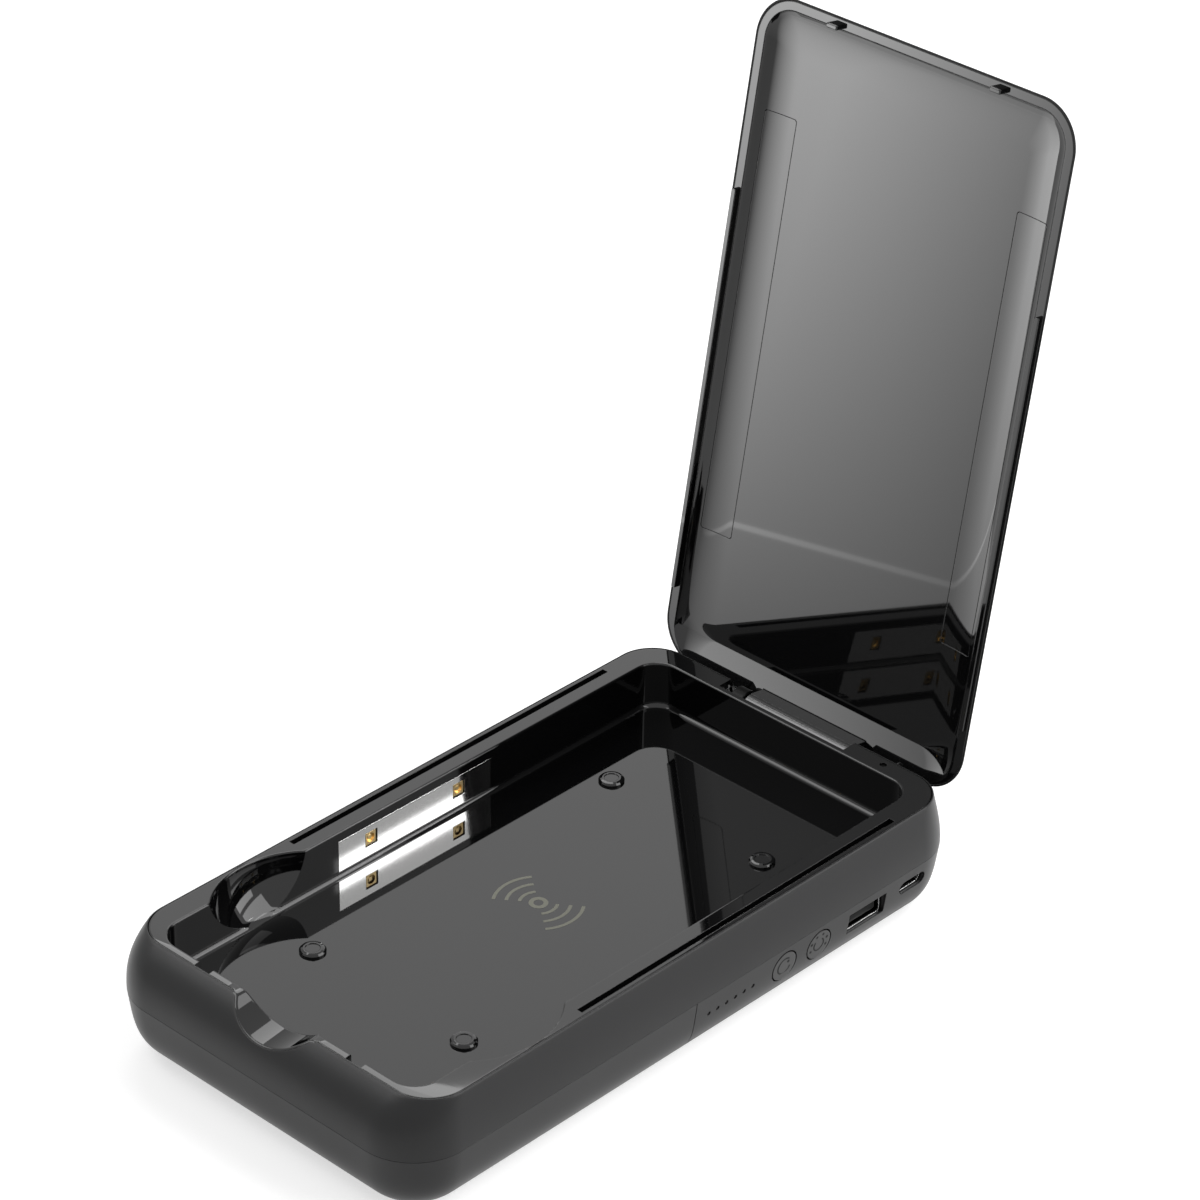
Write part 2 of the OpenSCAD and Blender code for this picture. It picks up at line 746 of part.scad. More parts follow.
// Small switch on the tray's back wall; its nub waits below the plunger's travel
module interlock_switch() {
  nub_top = plunger_low - plunger_travel - 0.1;
  nub_y = interlock_at[1];
  color("#232323") {
    block([interlock_at[0] - 4.1, recess_y, nub_top - switch_nub - 6],
          [interlock_at[0] + 4.1, recess_y + 2.9, nub_top - switch_nub]);
    block([interlock_at[0] - 0.7, nub_y - 0.7, nub_top - switch_nub - 0.1],
          [interlock_at[0] + 0.7, nub_y + 0.7, nub_top]);
  }
}

module hinge_pin() {
  color("#b9bcc0") lying_x(pin_left, pin_right, hinge_y, hinge_z, pin_r);
}

module case_screws() {
  head_low = foot_h + foot_seat + 0.35;
  color("#8d9095") at_screws() {
    translate([0, 0, 3]) cylinder(r = 1.1, h = floor_z - 6.95, $fn = 32);
    difference() {
      translate([0, 0, head_low]) cylinder(r = 2.3, h = 3.25 - head_low, $fn = 32);
      for (a = [0, 90]) rotate([0, 0, a]) block([-1.4, -0.3, 0], [1.4, 0.3, head_low + 0.9]);
    }
  }
}

module rubber_feet() {
  top = foot_h + foot_seat;
  color("#161616") at_screws()
    rotate_extrude() polygon([[0, 0], [foot_r - 0.5, 0], [foot_r, 0.4], [foot_r, top], [0, top]]);
}

// Turns the closed lid's geometry into the drawn pose
module lid_pose() {
  translate([0, hinge_y, hinge_z]) rotate([-lid_open, 0, 0]) translate([0, -hinge_y, -hinge_z])
    children();
}

// Rings of the lid's outside, moved inwards by wall
function lid_ring(u, wall) =
  let (inset = lid_slope * lid_h * u + (lid_round - lid_slope * lid_h) * pow(u, 4) + wall)
  ring(lid_z + lid_h * u, lid_x - inset, lid_front + inset, lid_back - inset,
       max(lid_r - inset * 0.6, 3));
module lid_form(wall = 0) {
  loft([for (u = lid_steps) lid_ring(u, wall)]);
}

// Rings of the pan's dish, moved outwards by wall: a quarter ellipse in section
function pan_ring(v, wall) =
  let (out = pan_cove * sqrt(1 - v * v) - pan_cove + wall)
  ring(lid_z + (pan_depth + wall) * v - (v == 0 ? 0.01 : 0), lid_x - lid_rim + out,
       lid_front + lid_rim - out, lid_back - lid_rim + out, lid_r - lid_rim + out * 0.6);
module pan_form(wall = 0) {
  loft([for (v = pan_steps) pan_ring(v, wall)]);
}

module lid_shell() {
  color("#2b2b2c") lid_pose() difference() {
    union() {
      difference() {
        lid_form();
        intersection() {
          lid_form(lid_lip);
          slab(lid_z - 1, seat_z);
        }
        intersection() {
          lid_form(lid_wall);
          slab(lid_z - 1, lid_z + lid_h - lid_roof);
        }
      }
      // Barrel of the hinge and the arm that joins it to the wall
      lying_x(barrel_left, barrel_right, hinge_y, hinge_z, barrel_r, 64);
      block([barrel_left, arm_front, hinge_z], [barrel_right, lid_back, lid_z + 2]);
    }
    pin_hole(turning_play);
  }
}

// Strip of space that one cover fills, widened by grow
module cover_space(side, grow) {
  x0 = side > 0 ? cover_in : -cover_out;
  rounded_plate(x0 - grow, x0 + cover_out - cover_in + grow, cover_front - grow, cover_back + grow,
                1 + grow, lid_z - 1, lid_z + lid_h);
}

// Thin dished plate behind the pan's face
module pan_plate() {
  difference() {
    intersection() {
      pan_form(pan_t);
      lid_form(lid_wall + air);
    }
    pan_form();
  }
}

module lid_cover(side) {
  color("#101011") lid_pose() intersection() {
    pan_plate();
    cover_space(side, 0);
  }
}

module lid_inner_panel() {
  tongue_out = groove_out - tongue_gap;
  color("#101011") lid_pose() {
    difference() {
      union() {
        difference() {
          intersection() {
            lid_form(lid_lip + air);
            slab(lid_z, seat_z - air);
          }
          pan_form();
        }
        pan_plate();
      }
      block([barrel_left - air, arm_front - air, lid_z - 1], [barrel_right + air, lid_back + 4, lid_z + 4]);
      for (side = [-1, 1]) cover_space(side, cover_gap);
    }
    for (side = [-1, 1]) {
      // Tongue along the side
      block([side > 0 ? groove_in + tongue_gap : -tongue_out, groove_front + 0.4, lid_z - tongue_h],
            [side > 0 ? tongue_out : -groove_in - tongue_gap, groove_back - 0.4, lid_z + 0.04]);
      // Latch hook at the free end, with its nose to the middle
      hook = latch_w / 2 - 0.85;
      block([side * latch_x - hook, latch_front + 0.3, lid_z - 2.2],
            [side * latch_x + hook, latch_front + 1.4, lid_z + 0.5]);
      block([side * latch_x - hook, latch_front + 0.3, lid_z - 2.2],
            [side * latch_x + hook, latch_front + 1.9, lid_z - 1.5]);
    }
    // Peg over the interlock plunger, cut off on an arc round the hinge so that it swings clear of the rim
    difference() {
      translate([interlock_at[0], interlock_at[1], peg_low])
        cylinder(r = peg_r, h = seat_z - 0.2 - peg_low, $fn = 24);
      lying_x(interlock_at[0] - 1, interlock_at[0] + 1, hinge_y, hinge_z, rim_z - hinge_z + peg_lift, 128);
    }
  }
}

lower_case();
upper_case();
tray();
control_panel();
phone_rests();
uv_reflector(-1);  // uv_reflector_left
uv_reflector(1);  // uv_reflector_right
uv_board(-1);  // uv_board_left
uv_board(1);  // uv_board_right
uv_led(-1);  // uv_led_left
uv_led(1);  // uv_led_right
charge_coil();
coil_shield();
battery_cells();
main_board();
board_screws();
inner_leads();
usb_a_shell();
usb_a_tongue();
usb_a_contacts();
usb_c_shell();
usb_c_tongue();
button_switches();
indicator_leds();
light_pipes();
button(button_y[0]);  // power_button
button(button_y[1]);  // uv_button
interlock_plunger();
interlock_switch();
hinge_pin();
case_screws();
rubber_feet();
lid_shell();
lid_inner_panel();
lid_cover(-1);  // lid_cover_left
lid_cover(1);  // lid_cover_right
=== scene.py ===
import bmesh
import bpy
import numpy as np
from mathutils import Matrix, Vector


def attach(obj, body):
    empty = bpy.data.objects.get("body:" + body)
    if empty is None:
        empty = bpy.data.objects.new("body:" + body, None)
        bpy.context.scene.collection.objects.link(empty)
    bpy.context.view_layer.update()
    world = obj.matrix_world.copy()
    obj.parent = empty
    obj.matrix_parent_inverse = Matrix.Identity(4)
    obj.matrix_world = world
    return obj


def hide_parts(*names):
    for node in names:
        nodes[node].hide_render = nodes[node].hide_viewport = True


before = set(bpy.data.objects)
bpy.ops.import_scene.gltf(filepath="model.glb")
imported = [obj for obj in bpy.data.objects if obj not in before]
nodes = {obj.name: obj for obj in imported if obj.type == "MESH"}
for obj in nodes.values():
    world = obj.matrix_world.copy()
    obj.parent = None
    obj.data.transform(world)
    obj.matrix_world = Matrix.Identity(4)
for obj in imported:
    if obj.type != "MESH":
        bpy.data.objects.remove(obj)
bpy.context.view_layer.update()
MM = 0.001

# The camera stands where the photograph was taken from, to the front right of the box and above it.
# Its place, direction and focal length were solved from the box's own edges.
PICTURE = 1200
focal_pixels = 4596.27
shift_pixels = (3.1, 35.08)
camera_place = Vector((647.858, -668.830, 675.960))
camera_right = Vector((0.72227724, 0.69150216, 0.01184723))
camera_up = Vector((-0.37220174, 0.37421454, 0.84936997))
camera_back = Vector((0.58290776, -0.61789016, 0.52766495))
camera_data = bpy.data.cameras.new("camera")
camera_data.sensor_width = 36.0
camera_data.lens = focal_pixels / PICTURE * camera_data.sensor_width
camera_data.shift_x = shift_pixels[0] / PICTURE
camera_data.shift_y = shift_pixels[1] / PICTURE
camera_data.clip_start = 0.05
camera_data.clip_end = 20.0
camera = bpy.data.objects.new("camera", camera_data)
camera_turn = Matrix((camera_right, camera_up, camera_back)).transposed().to_4x4()
camera.matrix_world = Matrix.Translation(camera_place * MM) @ camera_turn
bpy.context.scene.collection.objects.link(camera)
bpy.context.scene.camera = camera
bpy.context.scene.view_settings.view_transform = "Standard"


# The studio is white all round: a white sky, and a floor of white paper that keeps a soft shadow. Both
# look white to the camera, in mirrors and through clear pieces, and light the box at a plain level.
def white_for(tree, plain, seen):
    """Strength that is plain for most rays and seen for camera, glossy and clear rays."""
    path = tree.nodes.new("ShaderNodeLightPath")
    direct = tree.nodes.new("ShaderNodeMath")
    direct.operation = "MAXIMUM"
    tree.links.new(path.outputs["Is Camera Ray"], direct.inputs[0])
    tree.links.new(path.outputs["Is Glossy Ray"], direct.inputs[1])
    shown = tree.nodes.new("ShaderNodeMath")
    shown.operation = "MAXIMUM"
    tree.links.new(direct.outputs[0], shown.inputs[0])
    tree.links.new(path.outputs["Is Transmission Ray"], shown.inputs[1])
    level = tree.nodes.new("ShaderNodeMapRange")
    level.inputs["To Min"].default_value = plain
    level.inputs["To Max"].default_value = seen
    tree.links.new(shown.outputs[0], level.inputs["Value"])
    return level.outputs["Result"]


sky_light = 0.27
paper_glow = 0.62
world = bpy.data.worlds.new("white studio")
world.use_nodes = True
bpy.context.scene.world = world
sky = world.node_tree.nodes["Background"]
sky.inputs["Color"].default_value = (1.0, 1.0, 1.0, 1.0)
world.node_tree.links.new(white_for(world.node_tree, sky_light, 1.0), sky.inputs["Strength"])

floor_mesh = bpy.data.meshes.new("floor")
floor_mesh.from_pydata([(-3, -3, 0), (3, -3, 0), (3, 3, 0), (-3, 3, 0)], [], [(0, 1, 2, 3)])
floor = bpy.data.objects.new("floor", floor_mesh)
bpy.context.scene.collection.objects.link(floor)
paper = bpy.data.materials.new("white paper")
paper.use_nodes = True
paper_tree = paper.node_tree
paper_shader = paper_tree.nodes["Principled BSDF"]
paper_shader.inputs["Base Color"].default_value = (0.72, 0.72, 0.72, 1.0)
paper_shader.inputs["Roughness"].default_value = 0.9
paper_shader.inputs["Emission Color"].default_value = (1.0, 1.0, 1.0, 1.0)
paper_tree.links.new(white_for(paper_tree, 0.0, paper_glow), paper_shader.inputs["Emission Strength"])
floor_mesh.materials.append(paper)


# Lamps: softboxes to the right, low at the right, overhead, behind, high behind and to the upper left.
# A short tube light behind the lid's right edge shows as the white band in the left mirror strip.
def softbox(name, place, target, width, height, power):
    """A rectangular area lamp at place, facing target."""
    data = bpy.data.lights.new(name, "AREA")
    data.shape = "RECTANGLE"
    data.size = width
    data.size_y = height
    data.energy = power
    lamp = bpy.data.objects.new(name, data)
    lamp.location = place
    lamp.rotation_euler = (Vector(target) - Vector(place)).to_track_quat("-Z", "Y").to_euler()
    bpy.context.scene.collection.objects.link(lamp)
    return lamp


softbox("right softbox", (1.006, 0.679, 0.882), (0, 0, 0.02), 1.05, 1.05, 12.4)
softbox("low right softbox", (1.214, 1.018, 0.223), (0, 0, 0.02), 0.8, 0.25, 2.4)
softbox("overhead softbox", (0.418, 0.498, 1.126), (0, 0, 0.03), 0.45, 0.45, 2.0)
softbox("back softbox", (-0.75, 0.85, 0.72), (0, 0, 0.02), 0.8, 0.6, 0.9)
softbox("high back softbox", (-0.655, 0.459, 1.0), (0, 0, 0.03), 0.45, 0.45, 2.1)
softbox("upper left softbox", (-0.66, -0.30, 0.98), (0, 0.09, 0.06), 0.6, 0.6, 3.4)
tube = softbox("short tube light", (0.1339, 0.1654, 0.1874), (-1.0, 0.1654, 0.1874), 0.059, 0.0125, 0.0394)
tube.visible_camera = False


# Light panels: one stands to the left of the box, and one lies on the floor between its foot and the
# box. The lid's glossy inside mirrors them as its pale glow. The camera doesn't see them.
def glowing(lamp, low, high, fade_start=0.395, fade_end=0.984):
    """Keeps the lamp out of sight and lets its strength rise from low to high over its height, and fade
    out from one share of its width to another."""
    lamp.visible_camera = False
    lamp.data.use_nodes = True
    tree = lamp.data.node_tree
    spot = tree.nodes.new("ShaderNodeNewGeometry")
    split = tree.nodes.new("ShaderNodeSeparateXYZ")
    tree.links.new(spot.outputs["Parametric"], split.inputs[0])
    rise = tree.nodes.new("ShaderNodeMapRange")
    rise.inputs["To Min"].default_value = low
    rise.inputs["To Max"].default_value = high
    tree.links.new(split.outputs["Y"], rise.inputs["Value"])
    fade = tree.nodes.new("ShaderNodeMapRange")
    fade.inputs["From Min"].default_value = fade_start
    fade.inputs["From Max"].default_value = fade_end
    fade.inputs["To Min"].default_value = 1.0
    fade.inputs["To Max"].default_value = 0.0
    tree.links.new(split.outputs["X"], fade.inputs["Value"])
    level = tree.nodes.new("ShaderNodeMath")
    level.operation = "MULTIPLY"
    tree.links.new(rise.outputs["Result"], level.inputs[0])
    tree.links.new(fade.outputs["Result"], level.inputs[1])
    tree.links.new(level.outputs[0], tree.nodes["Emission"].inputs["Strength"])
    return lamp


panel_width = 0.19
upright_place = (-0.174, -0.110, 0.095)
lying_place = (-0.134, -0.053, 0.001)
foot_glow, joint_glow, top_glow = 1.0, 2.1, 7.5
upright_panel = softbox("small light panel", upright_place, (0.396, 0.710, 0.095), panel_width, 0.19, 0.1134)
lying_panel = softbox("floor light panel", lying_place, (-0.134, -0.053, 1.0), panel_width, 0.146, 0.0872)
light_panels = [glowing(upright_panel, joint_glow, top_glow), glowing(lying_panel, foot_glow, joint_glow)]
lying_along = Vector((0.82, -0.57, 0.0)).normalized()
lying_down = Vector((-0.57, -0.82, 0.0)).normalized()
lying_turn = Matrix((lying_along, lying_down, Vector((0, 0, -1)))).transposed().to_4x4()
lying_panel.matrix_world = Matrix.Translation(lying_place) @ lying_turn

# Lower case: a moulded shell of matte black plastic, open at the top, with its foot rounded in. The
# two case halves meet at the widest line, and four long screws from below hold them together. The
# right side is open for the control panel.
foot_h = 0.25
belt_z = 17.95
rim_z = 32.25
base_x = 54.3
base_y = 97.9
base_r = 16.0
straight_x = 36
straight_y = 78
case_wall = 2.0
seam = 0.07
seam_drop = 0.03


def base_outline(z, inward=0.0):
    """Half width, front, back and corner radius of the base at heights z. Below the belt every side goes in
    by 2.2 t + 5.9 t^5. Above it the sides go in by 2.45 s^2, the front by 7.65 s^3, the back by 3.9 s^2."""
    t = np.clip((belt_z - z) / (belt_z - foot_h), 0, 1)
    s = np.clip((z - belt_z) / (rim_z - belt_z), 0, 1)
    foot = 2.2 * t + 5.9 * t ** 5 + inward
    side = foot + 2.45 * s ** 2
    front = foot + 7.65 * s ** 3
    back = foot + 3.9 * s ** 2
    radius = base_r - np.where(z < belt_z, 0.9 * foot, (side + front) / 2)
    return base_x - side, front - base_y, base_y - back, radius


def loop(front_x, side_y, back_x, arc_steps=20):
    """Samples round a rounded rectangle, counter-clockwise from above and from the right side's front end.
    Each has its outward direction, the signs of its corner, and its own x or y on the straight stretches."""
    quarter = np.radians(np.linspace(0, 90, arc_steps + 1))
    parts = []
    for start, sign_x, sign_y, fixed_x, fixed_y in (
        (0, 1, 1, None, side_y), (90, -1, 1, back_x[::-1], None),
        (180, -1, -1, None, side_y[::-1]), (270, 1, -1, front_x, None),
    ):
        count = len(fixed_y if fixed_x is None else fixed_x)
        none = np.full(count, np.nan)
        flat = np.full(count, np.radians(start))
        turn = np.concatenate([flat, quarter + np.radians(start)])
        pad = np.full(arc_steps + 1, np.nan)
        parts.append(np.array([
            np.cos(turn), np.sin(turn),
            np.full(len(turn), sign_x), np.full(len(turn), sign_y),
            np.concatenate([none if fixed_x is None else fixed_x, pad]),
            np.concatenate([none if fixed_y is None else fixed_y, pad]),
        ]))
    return np.concatenate(parts, axis=1)


def place(samples, half_x, front, back, radius):
    """x and y of the samples: the corner's centre plus radius times direction, or the sample's own x or y."""
    cos, sin, sign_x, sign_y, fixed_x, fixed_y = samples
    x = np.where(np.isnan(fixed_x), sign_x * (half_x - radius) + radius * cos, fixed_x)
    corner_y = np.where(sign_y > 0, back - radius, front + radius)
    y = np.where(np.isnan(fixed_y), corner_y + radius * sin, fixed_y)
    return x, y


def stack(rows):
    """One array of loops from a list of (x, y, z), each of them a number or an array along the loop."""
    count = max(np.size(part) for row in rows for part in row)
    return np.array([[np.broadcast_to(part, count) for part in row] for row in rows]).transpose(0, 2, 1)


def lofted(name, rows, material=None, closed=False):
    """A solid from loops: quads join each loop to the next, and a flat face closes the first and the last,
    or they are joined to each other if closed."""
    levels, count = rows.shape[:2]
    grid = np.arange(levels * count).reshape(levels, count)
    low = grid if closed else grid[:-1]
    high = np.roll(grid, -1, axis=0) if closed else grid[1:]
    quads = np.stack([low, np.roll(low, -1, axis=1), np.roll(high, -1, axis=1), high], axis=-1)
    faces = quads.reshape(-1, 4).tolist()
    if not closed:
        faces += [grid[0][::-1].tolist(), grid[-1].tolist()]
    mesh = bpy.data.meshes.new(name)
    mesh.from_pydata((rows.reshape(-1, 3) * MM).tolist(), [], faces)
    mesh.update()
    piece = bpy.data.objects.new(name, mesh)
    bpy.context.scene.collection.objects.link(piece)
    if material:
        mesh.materials.append(material)
    return piece


def carve(piece, cutter, operation="DIFFERENCE"):
    """Cuts the piece with another solid, and removes that solid."""
    cut = piece.modifiers.new("cut", "BOOLEAN")
    cut.object = cutter
    cut.operation = operation
    cut.solver = "EXACT"
    depsgraph = bpy.context.evaluated_depsgraph_get()
    mesh = bpy.data.meshes.new_from_object(piece.evaluated_get(depsgraph))
    piece.modifiers.clear()
    old = piece.data
    piece.data = mesh
    bpy.data.meshes.remove(old)
    bpy.data.objects.remove(cutter)


def box_cutter(low, high):
    """A plain block from its lowest to its highest corner, in millimetres, used only to cut."""
    x = np.array([high[0], high[0], low[0], low[0]])
    y = np.array([low[1], high[1], high[1], low[1]])
    return lofted("cutter", stack([(x, y, low[2]), (x, y, high[2])]))


def plastic(name, colour, roughness, grain, depth, edge=0.25, sheen=0.5):
    """A moulded plastic: grain is the size of its texture and depth its height, edge the radius of its
    edges, all in millimetres. A coarser texture varies the roughness by 15 per cent, and sheen is the
    shader's specular level."""
    material = bpy.data.materials.new(name)
    material.use_nodes = True
    tree = material.node_tree
    shader = tree.nodes["Principled BSDF"]
    shader.inputs["Base Color"].default_value = (*colour, 1.0)
    shader.inputs["Specular IOR Level"].default_value = sheen
    where = tree.nodes.new("ShaderNodeTexCoord")
    texture = tree.nodes.new("ShaderNodeTexNoise")
    texture.inputs["Scale"].default_value = 1 / (grain * MM)
    texture.inputs["Detail"].default_value = 3.0
    tree.links.new(where.outputs["Object"], texture.inputs["Vector"])
    wear = tree.nodes.new("ShaderNodeTexNoise")
    wear.inputs["Scale"].default_value = 60.0
    wear.inputs["Detail"].default_value = 4.0
    tree.links.new(where.outputs["Object"], wear.inputs["Vector"])
    spread = tree.nodes.new("ShaderNodeMapRange")
    spread.inputs["To Min"].default_value = roughness * 0.85
    spread.inputs["To Max"].default_value = roughness * 1.15
    tree.links.new(wear.outputs["Fac"], spread.inputs["Value"])
    tree.links.new(spread.outputs["Result"], shader.inputs["Roughness"])
    rounding = tree.nodes.new("ShaderNodeBevel")
    rounding.samples = 4
    rounding.inputs["Radius"].default_value = edge * MM
    bump = tree.nodes.new("ShaderNodeBump")
    bump.inputs["Strength"].default_value = 1.0
    bump.inputs["Distance"].default_value = depth * MM
    tree.links.new(texture.outputs["Fac"], bump.inputs["Height"])
    tree.links.new(rounding.outputs["Normal"], bump.inputs["Normal"])
    tree.links.new(bump.outputs["Normal"], shader.inputs["Normal"])
    return material


def finished(piece, body, slot, *replaced, angle=32):
    """Smooths a piece except at edges sharper than angle, and lets it ride on its body in its CAD nodes'
    place."""
    piece.data.polygons.foreach_set("use_smooth", np.ones(len(piece.data.polygons), bool))
    piece.data.set_sharp_from_angle(angle=np.radians(angle))
    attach(piece, body)
    if replaced:
        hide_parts(*replaced)


matte_black = plastic("matte black plastic", (0.0095, 0.0095, 0.01), 0.36, 0.22, 0.005, sheen=0.32)
side_y = np.linspace(-straight_y, straight_y, 79)
end_x = np.linspace(-straight_x, straight_x, 37)
case_loop = loop(end_x, side_y, end_x)


def case_row(z, inward=0.0, drop=0.0):
    """A loop of the base's surface at height z, moved inward, and drawn lower by drop."""
    return (*place(case_loop, *base_outline(np.float64(z), inward)), z - drop)


foot_heights = foot_h + (belt_z - seam - foot_h) * np.linspace(0, 1, 40) ** 1.5
outer_rows = [case_row(z) for z in foot_heights] + [case_row(belt_z, seam, seam_drop)]
inner_rows = [case_row(belt_z, case_wall, seam_drop)]
inner_rows += [case_row(z, case_wall) for z in (12.0, 6.0, 3.5, foot_h + case_wall)]
lower = lofted("lower_case_shell", stack(outer_rows + inner_rows), matte_black)

panel_low = (40.0, -2.8, 4.85)
panel_high = (80.0, 93.0, belt_z + 1)
body_x, body_front, body_back, body_r = 50.9, -93.9, 94.4, 13.0


def panel_room(gap):
    """The space of the panel, drawn in by gap, and by 2.5 gaps at its front end: a block less the case's
    inner, round-cornered body."""
    room = box_cutter(np.array(panel_low) + (0, 2.5 * gap, gap), np.array(panel_high) - (0, gap, 0))
    inner = place(case_loop, body_x, body_front, body_back, body_r)
    carve(room, lofted("cutter", stack([(*inner, -1), (*inner, belt_z + 3)])))
    return room


carve(lower, panel_room(0.0))
finished(lower, "base", "case_matte", "lower_case")

# Control panel: a strip of the same matte plastic, let flush into the right side of the lower case,
# with holes for the lights, the buttons and both sockets. Thin seams show round it.
panel_gap = 0.1
row_z = 12.05
button_y = (29.85, 42.6)
button_hole = 4.5
light_y = 2.45 + 3.18 * np.arange(6)
light_hole = 0.6
large_front, large_back, large_half, large_z = 53.6, 67.6, 3.05, row_z + 0.25
small_y, small_half, small_r, small_z = 77.8, 3.05, 1.85, row_z + 1.15
hole_start, hole_end = 45, 65


def rod_cutter(start, axis, length, radius, count=64):
    """A plain cylinder from start along X or Z, in millimetres, used only to cut."""
    turn = np.arange(count) * 2 * np.pi / count
    u, v = radius * np.cos(turn), radius * np.sin(turn)
    order = {"X": (2, 0, 1), "Z": (0, 1, 2)}[axis]
    rows = stack([(u, v, 0), (u, v, length)])[:, :, order] + np.array(start, float)
    return lofted("cutter", rows)


panel = lofted("control_panel_strip", stack(outer_rows), matte_black)
carve(panel, panel_room(panel_gap), "INTERSECT")
for y in button_y:
    carve(panel, rod_cutter((hole_start, y, row_z), "X", hole_end - hole_start, button_hole))
for y in light_y:
    carve(panel, rod_cutter((hole_start, y, row_z), "X", hole_end - hole_start, light_hole, 24))
large_low = (hole_start, large_front, large_z - large_half)
large_high = (hole_end, large_back, large_z + large_half)
carve(panel, box_cutter(large_low, large_high))
slot_turn = np.radians(np.linspace(-90, 90, 17))
slot_reach = small_half + small_r * np.cos(slot_turn)
slot_u = small_y + np.concatenate([slot_reach, -slot_reach])
slot_v = small_z + small_r * np.concatenate([np.sin(slot_turn), -np.sin(slot_turn)])
carve(panel, lofted("cutter", stack([(hole_start, slot_u, slot_v), (hole_end, slot_u, slot_v)])))
finished(panel, "base", "case_matte", "control_panel")

# Upper case: the other moulded half, whose front slopes back in a soft shoulder that dips at the
# finger notch. It holds the tray's rim in a seat and has a recess at the back for the hinge.
notch_r = 20.847
notch_y = -87.7
notch_z = 49.297
notch_lean = np.tan(np.radians(6.8))
notch_soft = 0.45
notch_half = 18.0
liner = 0.3
lip = 0.35
hinge_y = 92.95
hinge_z = 28.22
recess_low = (-23.2, 89.3, 23.82)
recess_high = (19.8, 110, 40)


def notch_height(x, y, radius):
    """Height at x and y of the finger notch, a cylinder that leans down to the front, passing softly into
    the rim."""
    side = np.minimum(np.abs(x), notch_half)
    depth = np.sqrt(np.maximum(radius ** 2 - side ** 2, 0)) * np.sqrt(1 + notch_lean ** 2)
    bowl = notch_z + (y - notch_y) * notch_lean - depth
    return (rim_z + bowl - np.sqrt((rim_z - bowl) ** 2 + notch_soft ** 2)) / 2


def at_notch(samples, half):
    """Which samples lie on the front's straight stretch, within half of its middle."""
    return (samples[3] < 0) & (np.abs(np.nan_to_num(samples[4], nan=100.0)) < half)


beside_x = np.linspace(notch_half, straight_x, 10)
edge_x = np.concatenate([-beside_x[::-1], np.linspace(-17, 17, 69), beside_x])
shoulder_loop = loop(edge_x, side_y, end_x)
front_here = at_notch(shoulder_loop, notch_half)
front_x = np.where(front_here, np.nan_to_num(shoulder_loop[4]), 0.0)
shoulder_top = np.full(front_x.shape, rim_z)
for _ in range(12):
    meeting_y = base_outline(shoulder_top)[1]
    shoulder_top = np.where(front_here, notch_height(front_x, meeting_y, notch_r + liner), rim_z)


def shoulder_row(share, inward=0.0, rise=0.0):
    """A loop of the upper case at a share of the way from the belt to its top edge, which dips at the
    notch."""
    z = belt_z + (shoulder_top - belt_z) * share
    return (*place(shoulder_loop, *base_outline(z, inward)), z + rise)


seat_share = 0.84
upper_rows = [shoulder_row(0, seam, seam_drop), shoulder_row(seam / (rim_z - belt_z))]
upper_rows += [shoulder_row(share) for share in np.linspace(0.03, 0.985, 44)]
upper_rows += [shoulder_row(0.997, 0.08), shoulder_row(1.0, 0.2), shoulder_row(1.0, lip)]
upper_rows += [shoulder_row(seat_share, lip), shoulder_row(seat_share, case_wall)]
upper_rows += [shoulder_row(0.5, case_wall), shoulder_row(0, case_wall, seam_drop)]
upper = lofted("upper_case_shell", stack(upper_rows), matte_black, closed=True)
carve(upper, box_cutter(recess_low, recess_high))
finished(upper, "base", "case_matte", "upper_case")

# Hinge seat: a moulded pocket of the upper case below the hinge, closed at both ends, and one lug at
# its left end that holds the pin.
pocket_x = 24.7
pocket_y = np.array([89.3, 96.4, 94.3, 89.3])
pocket_z = np.array([22.32, 22.32, 29.8, 29.8])
pocket_rows = [(-pocket_x, pocket_y, pocket_z), (pocket_x, pocket_y, pocket_z)]
pocket = lofted("hinge_pocket", stack(pocket_rows), matte_black)
carve(pocket, box_cutter((recess_low[0], 80, recess_low[2]), recess_high))
finished(pocket, "base", "case_matte")

lug_left, lug_right, lug_r, lug_edge = -20.2, -16.2, 3.55, 0.2
lug_foot = recess_low[2] - 0.5
# The lug stands in the shaded recess behind the lid, so its plastic is drawn darker and less shiny than the
# case's, as painted shade.
shaded_lug_plastic = plastic("shaded lug plastic", (0.002, 0.002, 0.002), 0.3, 0.4, 0.002, sheen=0.12)
lug_turn = np.radians(np.linspace(0, 180, 33))
lug_y = hinge_y + lug_r * np.concatenate([np.cos(lug_turn), [-1, 1]])
lug_z = np.concatenate([hinge_z + lug_r * np.sin(lug_turn), [lug_foot, lug_foot]])
eased_y = hinge_y + (lug_y - hinge_y) * 0.93
eased_z = hinge_z - 1 + (lug_z - hinge_z + 1) * 0.95
lug_rows = [(lug_left, eased_y, eased_z), (lug_left + lug_edge, lug_y, lug_z),
            (lug_right - lug_edge, lug_y, lug_z), (lug_right, eased_y, eased_z)]
finished(lofted("hinge_lug", stack(lug_rows), shaded_lug_plastic), "base", "gloss_black")

